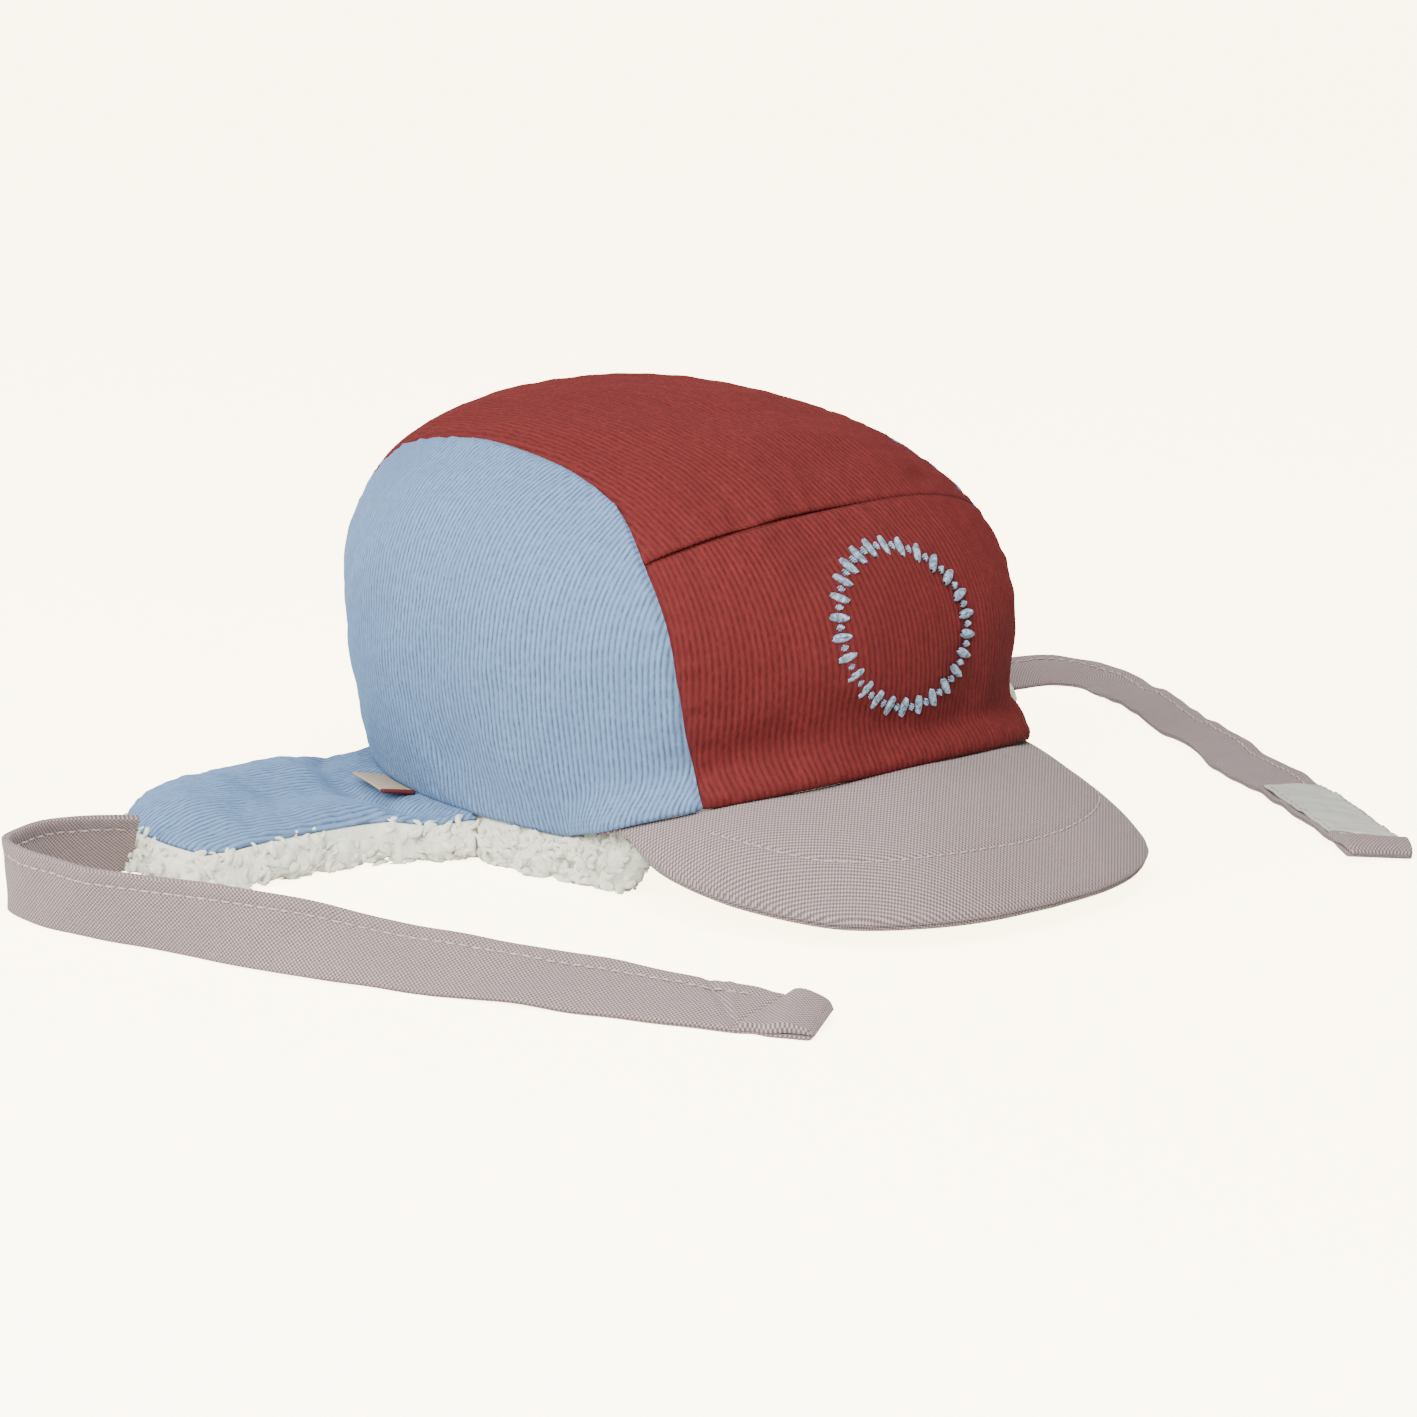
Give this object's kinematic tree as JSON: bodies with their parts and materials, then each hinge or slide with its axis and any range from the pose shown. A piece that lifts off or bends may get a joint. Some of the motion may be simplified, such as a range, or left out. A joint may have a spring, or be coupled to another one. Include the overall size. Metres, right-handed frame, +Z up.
{
  "type": "child's winter cap",
  "caption": "Soft corduroy cap with a short canvas peak, a curly pile lining, ear flaps turned out and long flat canvas ties laid forward.",
  "frame": {"origin": "middle of the whole footprint, on the surface that the cap rests on", "axes": "+Z up, -Y the way the peak points, -X the wearer's right, +X the wearer's left"},
  "size_m": [0.4052, 0.2836, 0.1178],
  "materials": {
    "red_corduroy": "fine-wale corduroy",
    "blue_corduroy": "fine-wale corduroy",
    "grey_canvas": "plain woven canvas",
    "white_pile": "curly pile",
    "label_tape": "woven tape"
  },
  "bodies": {
    "root": {"front_panel": "red_corduroy", "top_panel": "red_corduroy", "side_panel_right": "blue_corduroy", "side_panel_left": "blue_corduroy", "ear_flap_right": "blue_corduroy", "ear_flap_left": "blue_corduroy", "crown_lining": "white_pile", "flap_lining_right": "white_pile", "flap_lining_left": "white_pile", "peak": "grey_canvas", "tie_right": "grey_canvas", "tie_left": "grey_canvas", "tie_label": "label_tape", "neck_label": "label_tape"}
  },
  "joints": []
}
